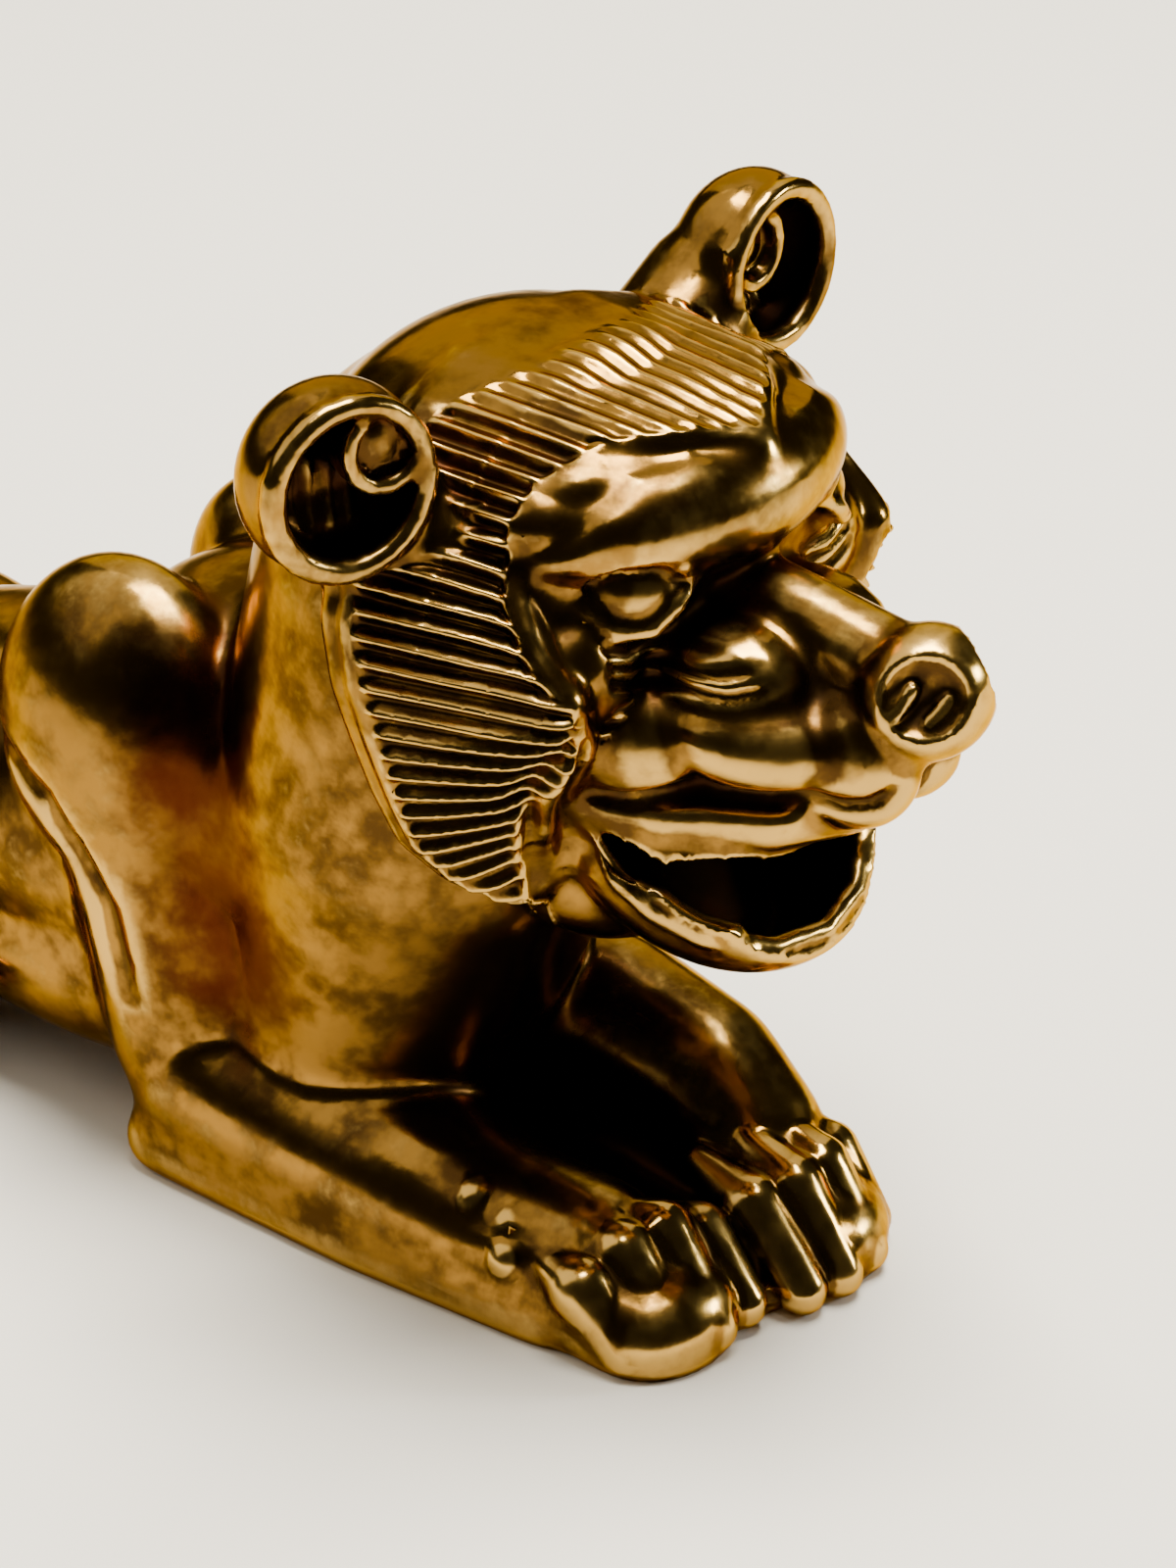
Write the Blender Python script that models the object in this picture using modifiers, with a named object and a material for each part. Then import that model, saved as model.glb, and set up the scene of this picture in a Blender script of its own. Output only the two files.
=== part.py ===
"""Small gilt brass lion lying down with its head up, cast in one piece."""

import math

import bmesh
import bpy
import numpy as np
from mathutils import Euler, Matrix, Vector

LENGTH = 0.046
PARTS_IN_LENGTH = 46.0
PART = LENGTH / PARTS_IN_LENGTH

# All lengths below are in parts of the lion's length. It faces -Y, with its left at +X.
EAR_LINE_HEIGHT = 24.0
FACE_MIDDLE = -5.0
JAW_TILT = 36
EYE_TURN = 42
FLUTE_PITCH = 0.62
FLUTE_DEPTH = 0.3

# Softness is how far the round masses melt into each other.
FORM_VOXEL = 0.13
BODY_SOFTNESS = 0.75
HEAD_SOFTNESS = 0.30
DETAIL_SOFTNESS = 0.16

TRIANGLES = 9500
PLAIN_TRIANGLES = 12000

# Thinning leaves the soles uneven by less than this.
SOLE_TRIM = 0.06

# One side of the head, as x, forward and up from the middle of the ear line.
# The hair is a band from the collar at the back to the hairline round the face.
HAIRLINE = [(0, 6.0, 0.15), (1.9, 5.0, 0.45), (3.5, 3.7, 0.35), (4.8, 2.9, -0.35), (5.8, 2.8, -1.4),
            (6.7, 3.3, -2.7), (7.1, 4.2, -4.0), (7.0, 5.1, -5.0), (6.4, 4.9, -6.4), (5.8, 3.9, -8.0),
            (4.9, 3.1, -9.8), (4.0, 2.9, -11.2)]
COLLAR = [(0, -0.6, 1.2), (2.4, -0.6, 1.0), (4.4, -0.5, 0.3), (6.0, -0.3, -0.8), (7.2, -0.1, -2.2),
          (7.9, 0.0, -3.8), (8.0, 0.3, -5.4), (7.7, 0.6, -7.0), (7.2, 0.8, -8.6), (6.6, 1.0, -10.0),
          (5.6, 1.4, -11.2), (4.6, 2.2, -11.9)]

# The middle of each ear's mouth, and how far the left ear (1) and the right ear (-1) face outwards.
EAR_OUT = 8.3
EAR_FORWARD = 0.7
EAR_UP = 0.1
EAR_TURNS = {1: 0, -1: 20}
EAR_MOUTH = 2.0

# The heel, knuckle and tip of each front toe, from the lion's right to its left.
TOES = [((-4.4, -3.0, 2.2), (-4.7, -4.6, 1.9), (-4.7, -6.0, 0.6)),
        ((-3.4, -3.2, 2.6), (-3.4, -4.9, 2.4), (-3.9, -6.8, 0.7)),
        ((-2.4, -3.4, 2.6), (-2.2, -5.2, 2.5), (-2.7, -7.2, 0.7)),
        ((-1.5, -3.8, 2.1), (-1.1, -5.6, 2.0), (-1.4, -7.2, 0.7)),
        ((0.9, -4.2, 2.6), (0.5, -6.1, 2.2), (0.1, -8.0, 0.6)),
        ((2.0, -4.4, 3.2), (1.6, -6.6, 2.4), (1.3, -8.3, 0.6)),
        ((3.0, -4.4, 3.2), (2.8, -6.6, 2.4), (2.6, -8.2, 0.6)),
        ((4.0, -4.2, 2.6), (4.0, -6.1, 2.0), (3.8, -7.5, 0.6))]


def head(x, forward, up):
    """A point on the head, from the middle of the line between the ears."""
    return (x, -forward, EAR_LINE_HEIGHT + up)


def ear(side, out, forward, up):
    """A point on an ear, from the middle of its mouth; side is 1 for the left ear and -1 for the right."""
    turn = math.radians(EAR_TURNS[side])
    x, y, z = head(EAR_OUT + out * math.cos(turn) + forward * math.sin(turn),
                   EAR_FORWARD + forward * math.cos(turn) - out * math.sin(turn), EAR_UP + up)
    return (x * side, y, z)


class Clay:
    """A heap of overlapping round masses."""

    def __init__(self):
        self.bm = bmesh.new()

    def ball(self, centre, radii, turn=(0, 0, 0), pair=False):
        """An ellipsoid; turn is in degrees about x, y and z."""
        for side in ((1, -1) if pair else (1,)):
            place = Matrix.Translation((centre[0] * side, centre[1], centre[2]))
            angles = [math.radians(a) for a in (turn[0], turn[1] * side, turn[2] * side)]
            spin = Euler(angles).to_matrix().to_4x4()
            size = Matrix.Diagonal((*radii, 1.0))
            bmesh.ops.create_icosphere(self.bm, subdivisions=4, radius=1.0, matrix=place @ spin @ size)

    def limb(self, stations, pair=False):
        """A round bar through stations of x, y, z and radius."""
        for side in ((1, -1) if pair else (1,)):
            knots = [(Vector((s[0] * side, s[1], s[2])), s[3]) for s in stations]
            for centre, radius in knots:
                place = Matrix.Translation(centre)
                bmesh.ops.create_icosphere(self.bm, subdivisions=3, radius=radius, matrix=place)
            for (start, r1), (end, r2) in zip(knots, knots[1:]):
                along = end - start
                spin = along.to_track_quat("Z", "Y").to_matrix().to_4x4()
                place = Matrix.Translation((start + end) / 2)
                bmesh.ops.create_cone(self.bm, cap_ends=True, segments=32, radius1=r1, radius2=r2,
                                      depth=along.length, matrix=place @ spin)

    def cast(self, name, collection):
        """Turns the heap into an object."""
        mesh = bpy.data.meshes.new(name)
        self.bm.to_mesh(mesh)
        self.bm.free()
        obj = bpy.data.objects.new(name, mesh)
        collection.objects.link(obj)
        return obj


def bake(obj):
    """Applies the object's modifiers."""
    graph = bpy.context.evaluated_depsgraph_get()
    mesh = bpy.data.meshes.new_from_object(obj.evaluated_get(graph))
    old = obj.data
    obj.modifiers.clear()
    obj.data = mesh
    bpy.data.meshes.remove(old)
    return obj


def remove(obj):
    mesh = obj.data
    bpy.data.objects.remove(obj)
    bpy.data.meshes.remove(mesh)


def fuse(obj, voxel, softness):
    """Makes one skin of overlapping masses, with fillets between them."""
    remesh = obj.modifiers.new("fuse", "REMESH")
    remesh.mode = "VOXEL"
    remesh.voxel_size = voxel
    soften = obj.modifiers.new("soften", "SMOOTH")
    soften.factor = 0.5
    soften.iterations = max(1, round(2.0 * (softness / voxel) ** 2))
    return bake(obj)


def join(target, other):
    bm = bmesh.new()
    bm.from_mesh(target.data)
    bm.from_mesh(other.data)
    bm.to_mesh(target.data)
    bm.free()
    remove(other)


def cut(obj, cutter):
    boolean = obj.modifiers.new("cut", "BOOLEAN")
    boolean.operation = "DIFFERENCE"
    boolean.solver = "EXACT"
    boolean.object = cutter
    bake(obj)
    remove(cutter)


def body():
    clay = Clay()
    # trunk
    clay.ball((0, 14.5, 7.8), (5.0, 10.5, 5.0))
    clay.ball((0, 14.0, 4.6), (4.8, 9.5, 3.9))
    clay.limb([(0, 3, 12, 5.2), (0, 8.5, 10.6, 5.0)])
    clay.ball((0, 25.5, 6.8), (5.2, 6.8, 5.4))
    # neck and chest
    clay.limb([(0, 5.4, 5.2, 4.5), (0, 3.6, 12, 5.6), (0, 1.6, 18.5, 5.9)])
    # shoulder blades and upper arms
    clay.ball((3.8, 11.1, 13.0), (2.4, 3.9, 4.6), (-10, -10, 0), pair=True)
    clay.ball((0, 8.8, 11.8), (4.6, 5.2, 4.6))
    clay.limb([(3.7, 10.6, 12.5, 2.5), (3.6, 9.8, 7, 2.2), (3.4, 9.6, 3.6, 2.0)], pair=True)
    clay.ball((3.2, 9.4, 7.0), (2.2, 3.2, 4.2), pair=True)
    # right foreleg, which lies flat
    clay.limb([(-3.1, 8.6, 2.6, 2.5), (-3.1, 4.6, 3.0, 2.7), (-3.0, 2.0, 2.7, 2.6), (-3.0, -0.6, 1.5, 2.3),
               (-2.9, -3.5, 1.2, 2.3)])
    clay.limb([(-2.8, 8.6, 0.8, 1.8), (-2.8, -3.2, 0.8, 1.7)])
    clay.ball((-3.1, -5.0, 0.9), (2.4, 2.1, 1.6))
    clay.limb([(-4.4, 9.6, 0.8, 1.1), (-4.7, 2.5, 0.6, 1.0), (-4.5, -3.6, 0.6, 1.0)])
    # left foreleg, with its wrist raised
    clay.limb([(3.4, 8.4, 2.6, 2.5), (3.6, 4.6, 3.5, 2.4), (3.6, 0.8, 4.0, 2.25), (3.4, -2.6, 3.5, 2.0),
               (3.1, -4.3, 2.2, 2.0)])
    clay.limb([(2.9, 8.4, 1.2, 1.6), (2.9, 0.8, 1.4, 1.8), (2.9, -3.4, 1.2, 1.6)])
    clay.ball((2.5, -6.0, 1.0), (2.4, 2.2, 1.5))
    clay.limb([(4.6, 8.9, 0.8, 1.1), (4.9, 2.5, 0.6, 0.9), (4.4, -3.6, 0.6, 0.9)])
    # metal left between the forelegs
    clay.ball((0.5, 1.0, 0.5), (2.9, 6.0, 1.1))
    clay.ball((0, 8.2, 1.2), (3.8, 4.8, 2.0))
    clay.ball((0.2, -5.2, 0.3), (2.4, 2.6, 1.0))
    # haunches, hind feet and tail
    clay.ball((4.4, 25.2, 4.9), (2.9, 6.2, 4.9), pair=True)
    clay.limb([(5.8, 30.0, 1.7, 1.9), (6.2, 25, 1.4, 1.7), (6.0, 20.0, 1.3, 1.7)], pair=True)
    clay.ball((3.6, 29.5, 3.4), (2.6, 2.6, 3.0), pair=True)
    clay.limb([(0, 31.0, 6.0, 1.5), (2.6, 32.2, 3.6, 1.3), (6.2, 31.5, 1.7, 1.2), (8.4, 28.0, 1.2, 1.1),
               (8.9, 23.5, 1.1, 1.1), (8.9, 20.5, 1.3, 1.5)])
    return clay


def hair_ring(share):
    """A bar of hair round one side of the head, from the collar at 0 to the hairline at 1."""
    thick = 1.1 - 0.35 * share
    ring = []
    for back, front in zip(COLLAR, HAIRLINE):
        x, forward, up = (p + (q - p) * share for p, q in zip(back, front))
        drop = up - FACE_MIDDLE
        sink = 1 - thick / math.hypot(x, drop)
        ring.append((*head(x * sink, forward, FACE_MIDDLE + drop * sink), thick))
    return ring


def skull():
    clay = Clay()
    # the drum of hair round the face
    clay.ball(head(0, 1.6, -4.9), (7.2, 3.6, 6.0))
    clay.ball(head(0, 2.2, -6.6), (6.8, 2.8, 5.6))
    clay.ball(head(0, -0.8, -3.0), (5.8, 4.8, 4.2))
    for share in (0, 0.25, 0.5, 0.75, 1):
        clay.limb(hair_ring(share), pair=True)
    # forehead, brows and cheeks
    clay.ball(head(0, 2.8, -4.4), (6.6, 3.1, 4.6))
    clay.ball(head(0, 2.7, -1.6), (5.9, 4.1, 2.2))
    clay.ball(head(0, 4.9, -1.4), (2.6, 1.9, 1.8))
    clay.ball(head(0, 5.2, -2.2), (2.1, 1.6, 1.5))
    clay.ball(head(2.2, 5.0, -1.3), (3.1, 1.9, 1.3), (-8, 0, 25), pair=True)
    clay.ball(head(2.4, 4.9, -3.3), (1.5, 0.95, 1.2), pair=True)
    clay.ball(head(4.5, 4.3, -4.9), (2.0, 1.4, 1.6), pair=True)
    # bridge and ball of the nose
    clay.limb([(*head(0, 5.6, -4.3), 1.2), (*head(0, 8.0, -4.5), 1.05), (*head(0, 9.8, -5.0), 1.2)])
    clay.ball(head(0, 11.1, -5.3), (1.75, 1.6, 1.65))
    clay.ball(head(0, 9.0, -6.1), (1.5, 2.0, 1.3))
    # pads of the muzzle and the upper lip
    clay.ball(head(1.85, 7.4, -6.6), (2.0, 2.5, 1.3), (6, 0, -14), pair=True)
    clay.ball(head(3.2, 5.0, -6.9), (1.6, 1.9, 1.6), pair=True)
    clay.ball(head(1.5, 6.6, -5.5), (1.9, 2.2, 1.4), pair=True)
    clay.ball(head(0.9, 9.7, -7.1), (1.3, 1.75, 1.75), pair=True)
    clay.limb([(*head(0.4, 9.3, -8.5), 0.85), (*head(1.9, 8.0, -8.75), 0.85), (*head(3.2, 6.0, -8.75), 0.75),
               (*head(3.9, 4.4, -8.7), 0.5)], pair=True)
    # lower jaw and throat
    clay.ball(head(0, 5.0, -10.05), (4.25, 4.75, 3.15), (JAW_TILT, 0, 0))
    clay.ball(head(0, 2.6, -11.6), (3.8, 3.0, 2.6))
    clay.ball(head(0, 3.5, -8.5), (4.6, 3.2, 3.0))
    # ears
    for side in (1, -1):
        clay.ball(ear(side, 0, -0.6, 0), (2.3, 1.85, 2.35), (0, 0, EAR_TURNS[side] * side))
    clay.limb([(*head(7.2, -0.4, -0.6), 1.8), (*head(5.2, -0.5, -2.4), 2.2)], pair=True)
    return clay


def hollows():
    clay = Clay()
    # cups of the ears
    for side in (1, -1):
        clay.ball(ear(side, 0, 0.45, 0), (1.85, 1.95, 1.85), (0, 0, EAR_TURNS[side] * side))
    # eye sockets
    clay.ball(head(3.95, 5.6, -2.85), (1.25, 1.0, 0.8), (0, 0, EYE_TURN), pair=True)
    # nostrils
    clay.ball(head(1.65, 12.0, -4.6), (1.4, 1.15, 1.25), (0, 0, 45), pair=True)
    # bowl of the jaw and the gape above it
    clay.ball(head(0, 4.7, -10.45), (3.85, 4.35, 2.15), (JAW_TILT, 0, 0))
    clay.ball(head(0, 9.9, -11.4), (5.0, 2.6, 1.8), (18, 0, 0))
    clay.ball(head(0, 7.6, -10.5), (4.7, 2.6, 1.05), (20, 0, 0))
    clay.ball(head(0, 5.6, -9.85), (5.2, 2.2, 0.6), (20, 0, 0))
    return clay


def features():
    clay = Clay()
    # tongue
    clay.ball(head(0, 4.6, -12.5), (1.6, 2.9, 0.45), (JAW_TILT, 0, 0))
    # eyes, upper lids and lower lids
    clay.ball(head(3.35, 5.0, -3.05), (1.2, 1.2, 1.15), pair=True)
    clay.limb([(*head(4.75, 4.3, -2.55), 0.2), (*head(4.4, 4.6, -2.15), 0.28), (*head(4.05, 5.1, -1.9), 0.32),
               (*head(3.55, 5.75, -1.95), 0.32), (*head(2.95, 6.25, -2.35), 0.27), (*head(2.5, 6.3, -2.75), 0.2)],
              pair=True)
    clay.limb([(*head(4.75, 4.3, -2.7), 0.2), (*head(4.7, 4.8, -3.27), 0.26), (*head(4.38, 5.43, -3.72), 0.3),
               (*head(3.85, 6.0, -3.66), 0.3), (*head(3.3, 6.3, -3.2), 0.25), (*head(2.7, 6.3, -2.85), 0.2)],
              pair=True)
    # rolled rims of the ears, thickest at the top, and the curled fold inside
    for side in (1, -1):
        rim = []
        for i in range(25):
            angle = math.radians(-180 + 15 * i)
            thick = 0.38 - 0.06 * abs(i - 10) / 14
            rim.append((*ear(side, EAR_MOUTH * math.cos(angle), 0.3, EAR_MOUTH * math.sin(angle)), thick))
        clay.limb(rim)
        for depth in (0.2, -0.3):
            fold = []
            for i in range(9):
                angle = math.radians(-190 + 250 * i / 8)
                fold.append((*ear(side, 0.95 * math.cos(angle) - 0.95, depth, 0.95 * math.sin(angle) + 0.75), 0.25))
            clay.limb(fold)
    # front toes, and three knobs on the right wrist
    for heel, knuckle, tip in TOES:
        clay.limb([(*heel, 0.4), (*knuckle, 0.85), (*tip, 0.66)])
    clay.ball((-4.1, -0.9, 3.2), (0.75, 0.65, 0.75))
    clay.ball((-4.2, -2.1, 2.9), (0.7, 0.6, 0.7))
    clay.ball((-4.8, -2.4, 2.2), (0.65, 0.6, 0.7))
    # hind toes
    for i in range(3):
        clay.ball((5.0 + 1.1 * i, 18.6, 0.9), (0.6, 1.2, 1.0), pair=True)
    return clay


def line_distance(u, v, path):
    """The distance of points (u, v) from a bent line, and how far along it they lie, from 0 to 1."""
    path = np.array(path, float)
    lengths = np.hypot(*(path[1:] - path[:-1]).T)
    total = lengths.sum()
    best = np.full(u.shape, np.inf)
    along = np.zeros(u.shape)
    start = 0.0
    for a, b, length in zip(path[:-1], path[1:], lengths):
        du, dv = (b - a) / length
        t = np.clip((u - a[0]) * du + (v - a[1]) * dv, 0, length)
        away = np.hypot(u - a[0] - t * du, v - a[1] - t * dv)
        nearer = away < best
        best = np.where(nearer, away, best)
        along = np.where(nearer, (start + t) / total, along)
        start += length
    return best, along


def ramp(x, low, high):
    t = np.clip((x - low) / (high - low), 0, 1)
    return t * t * (3 - 2 * t)


class Graver:
    """Carves a mesh by moving its points along their normals."""

    def __init__(self, mesh):
        self.mesh = mesh
        count = len(mesh.vertices)
        self.at = np.empty(count * 3)
        mesh.vertices.foreach_get("co", self.at)
        self.at = self.at.reshape(-1, 3)
        self.normal = np.empty(count * 3)
        mesh.vertex_normals.foreach_get("vector", self.normal)
        self.normal = self.normal.reshape(-1, 3)
        self.side = np.abs(self.at[:, 0])
        self.forward = -self.at[:, 1]
        self.up = self.at[:, 2] - EAR_LINE_HEIGHT
        self.rise = np.zeros(count)
        self.fluted = np.zeros(count)

    def stroke(self, u, v, path, width, height, mask):
        """A ridge, or a groove for a height below 0, along a line in the plane of u and v."""
        away, along = line_distance(u, v, path)
        taper = np.clip(6 * np.minimum(along, 1 - along), 0.15, 1)
        self.rise += height * np.exp(-(away / width) ** 2) * taper * mask

    def face_stroke(self, path, width, height, mask):
        self.stroke(self.side, self.up, path, width, height, mask)

    def flank_stroke(self, path, width, height, mask):
        self.stroke(self.at[:, 1], self.at[:, 2], path, width, height, mask)

    def flutes(self):
        """Ridges that run forward over the band of hair between the collar and the hairline."""
        drop = self.up - FACE_MIDDLE
        turn = np.arctan2(self.side, drop)
        reach = np.hypot(self.side, drop)
        collar_turns = [math.atan2(x, up - FACE_MIDDLE) for x, forward, up in COLLAR]
        hair_turns = [math.atan2(x, up - FACE_MIDDLE) for x, forward, up in HAIRLINE]
        back = np.interp(turn, collar_turns, [p[1] for p in COLLAR])
        front = np.interp(turn, hair_turns, [p[1] for p in HAIRLINE])
        share = (self.forward - back) / (front - back)
        steps = [math.hypot(b[0] - a[0], b[2] - a[2]) for a, b in zip(COLLAR, COLLAR[1:])]
        run = np.interp(turn, collar_turns, np.concatenate([[0], np.cumsum(steps)]))
        wave = np.abs(np.sin(np.pi * run / FLUTE_PITCH)) ** 0.7
        on_band = ramp(share, 0.0, 0.15) * (1 - ramp(share, 0.95, 1.05)) * (turn < max(collar_turns))
        # clear of the ears
        to_ear = np.hypot((self.side - EAR_OUT) / 2.75, (self.up - EAR_UP) / 2.6)
        on_band *= np.maximum(ramp(to_ear, 0.98, 1.1), ramp(self.forward, 2.1, 2.5))
        # only where the surface faces away from the middle of the head
        outward = self.normal[:, 0] * np.sign(self.at[:, 0]) * np.sin(turn) + self.normal[:, 2] * np.cos(turn)
        on_band *= ramp(outward, 0.2, 0.5) * (reach > 3.6) * (self.up > -13)
        self.rise += FLUTE_DEPTH * (wave - 0.75) * on_band
        self.fluted = on_band

    def finish(self, obj):
        """Moves the points, and names those outside the flutes plain."""
        group = obj.vertex_groups.new(name="plain")
        group.add(np.flatnonzero(self.fluted < 0.5).tolist(), 1.0, "REPLACE")
        self.at += self.normal * self.rise[:, None]
        self.mesh.vertices.foreach_set("co", self.at.ravel())
        self.mesh.update()


def carve(lion):
    graver = Graver(lion.data)
    graver.flutes()
    on_face = graver.forward > 2.0
    # the groove where the hair meets the face
    edge = [(x, up - 0.35) for x, forward, up in HAIRLINE[:8]]
    graver.face_stroke(edge, 0.28, -0.22, on_face)
    # double fold of the cheek
    fold = [(6.3, -5.2), (6.4, -5.9), (6.35, -6.9), (6.1, -7.8), (5.5, -8.8), (5.0, -9.7)]
    graver.face_stroke(fold, 0.22, -0.28, on_face)
    graver.face_stroke([(6.1, -5.6), (5.7, -6.9), (4.85, -8.6), (4.25, -9.8), (3.95, -10.8)], 0.2, -0.24, on_face)
    # three bags below each eye
    under_eye = on_face & (graver.side < 5.2)
    for drop in (0, 0.4, 0.8):
        bag = [(4.95, -3.8 - drop), (4.7, -4.1 - drop), (4.0, -4.4 - drop), (3.1, -4.45 - drop), (2.4, -4.2 - drop)]
        graver.face_stroke(bag, 0.15, -0.15, under_eye)
    # upper edge of the lip
    lip = [(4.5, -8.5), (4.0, -8.1), (3.2, -7.95), (2.3, -8.0), (1.7, -7.6), (1.4, -6.9)]
    graver.face_stroke(lip, 0.28, -0.3, on_face)
    # the parting below the nose
    at_nose = graver.forward > 9.0
    graver.face_stroke([(0.0, -6.8), (0.0, -9.0)], 0.22, -0.22, at_nose)
    # crease behind the shoulder
    on_flank = graver.side > 3.5
    graver.flank_stroke([(14.5, 12.2), (11.6, 11.0), (9.9, 8.2), (9.4, 5.0)], 0.4, -0.35, on_flank)
    graver.finish(lion)


def stand(lion, height):
    """Cuts the lion flat where it stands."""
    bm = bmesh.new()
    bm.from_mesh(lion.data)
    everything = bm.verts[:] + bm.edges[:] + bm.faces[:]
    found = bmesh.ops.bisect_plane(bm, geom=everything, plane_co=(0, 0, height), plane_no=(0, 0, -1),
                                   clear_outer=True)
    edges = [e for e in found["geom_cut"] if isinstance(e, bmesh.types.BMEdge)]
    bmesh.ops.holes_fill(bm, edges=edges)
    bmesh.ops.triangulate(bm, faces=[f for f in bm.faces if len(f.verts) > 4])
    bm.to_mesh(lion.data)
    bm.free()


def thin(lion):
    """Keeps a fixed number of triangles: the plain forms are thinned first, then the flutes with them."""
    plain = lion.vertex_groups["plain"].index
    fluted = sum(1 for v in lion.data.vertices if all(g.group != plain for g in v.groups))
    for target, group in ((2 * fluted + PLAIN_TRIANGLES, "plain"), (TRIANGLES, "")):
        faces = sum(len(face.vertices) - 2 for face in lion.data.polygons)
        decimate = lion.modifiers.new("thin", "DECIMATE")
        decimate.ratio = target / faces
        decimate.vertex_group = group
        bake(lion)


def centre(lion):
    """Puts the origin under the middle of the lion."""
    xs, ys, zs = zip(*(v.co for v in lion.data.vertices))
    middle = ((min(xs) + max(xs)) / 2, (min(ys) + max(ys)) / 2, min(zs))
    lion.data.transform(Matrix.Translation([-m for m in middle]))


def gilt_brass():
    material = bpy.data.materials.new("gilt_brass")
    material.use_nodes = True
    shader = material.node_tree.nodes["Principled BSDF"]
    shader.inputs["Base Color"].default_value = (0.62, 0.36, 0.10, 1.0)
    shader.inputs["Metallic"].default_value = 1.0
    shader.inputs["Roughness"].default_value = 0.22
    return material


def collection(name):
    found = bpy.data.collections.new(name)
    bpy.context.scene.collection.children.link(found)
    return found


def main():
    for obj in list(bpy.data.objects):
        bpy.data.objects.remove(obj)
    figurine = collection("lion_figurine")
    cutters = collection("cutters")

    lion = fuse(body().cast("lion", figurine), FORM_VOXEL, BODY_SOFTNESS)
    join(lion, fuse(skull().cast("skull", figurine), FORM_VOXEL, HEAD_SOFTNESS))
    fuse(lion, FORM_VOXEL, DETAIL_SOFTNESS)

    cutter = hollows().cast("hollows", cutters)
    cutter.hide_render = True
    cutter.display_type = "WIRE"
    cut(lion, fuse(cutter, FORM_VOXEL, DETAIL_SOFTNESS))

    join(lion, features().cast("features", figurine))
    fuse(lion, FORM_VOXEL, DETAIL_SOFTNESS)
    carve(lion)
    stand(lion, 0.0)
    thin(lion)
    stand(lion, SOLE_TRIM)
    centre(lion)
    lion.data.transform(Matrix.Scale(PART, 4))
    lion.data.materials.append(gilt_brass())
    lion.data.shade_smooth()


main()
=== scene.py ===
import math

import bmesh
import bpy
import numpy as np
from mathutils import Euler, Matrix, Vector
from mathutils.bvhtree import BVHTree


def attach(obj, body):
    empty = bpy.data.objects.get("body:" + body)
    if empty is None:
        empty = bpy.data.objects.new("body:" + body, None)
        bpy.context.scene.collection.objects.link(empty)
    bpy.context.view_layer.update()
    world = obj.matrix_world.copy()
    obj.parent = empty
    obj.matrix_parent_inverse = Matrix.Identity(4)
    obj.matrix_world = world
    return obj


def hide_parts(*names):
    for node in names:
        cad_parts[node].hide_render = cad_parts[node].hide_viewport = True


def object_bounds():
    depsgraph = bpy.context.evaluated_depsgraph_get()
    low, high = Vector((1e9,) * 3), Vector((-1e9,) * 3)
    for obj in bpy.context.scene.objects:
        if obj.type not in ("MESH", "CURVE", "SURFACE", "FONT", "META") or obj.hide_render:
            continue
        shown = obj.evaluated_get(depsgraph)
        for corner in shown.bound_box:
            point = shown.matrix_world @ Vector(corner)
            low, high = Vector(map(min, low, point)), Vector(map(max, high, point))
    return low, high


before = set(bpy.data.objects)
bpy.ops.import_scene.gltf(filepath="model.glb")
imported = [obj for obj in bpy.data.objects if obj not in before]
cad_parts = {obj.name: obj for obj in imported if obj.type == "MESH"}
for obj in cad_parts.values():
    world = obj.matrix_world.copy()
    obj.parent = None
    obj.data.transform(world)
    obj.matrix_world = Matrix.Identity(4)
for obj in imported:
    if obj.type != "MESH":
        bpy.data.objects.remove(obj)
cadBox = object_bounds()
print("frame loaded, size", [round(high - low, 4) for low, high in zip(*cadBox)])

# The lion is drafted in millimetres, lying along Y and facing -Y, with the line between its ears
# over y = 0 and earLine above the ground. It is moved to the frame's origin at the end.
drafting = {
    "unit": 0.001,
    "earLine": 24.0,
    "faceMiddle": -5.0,      # up from the ear line
    "chin": -14.5,
    "faceBack": 2.0,         # forward of the ear line
    "jawTilt": 36,
    "eyeTurn": 42,
}

casting = {
    "voxel": 0.12,
    "bodySoftness": 0.75,    # how far the masses melt into each other
    "headSoftness": 0.28,
    "detailSoftness": 0.13,
    "plainTriangles": 60000,
    "triangles": 195000,
}


def onHead(x, forward, up):
    return (x, -forward, drafting["earLine"] + up)


# Clay: overlapping round masses.

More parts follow.
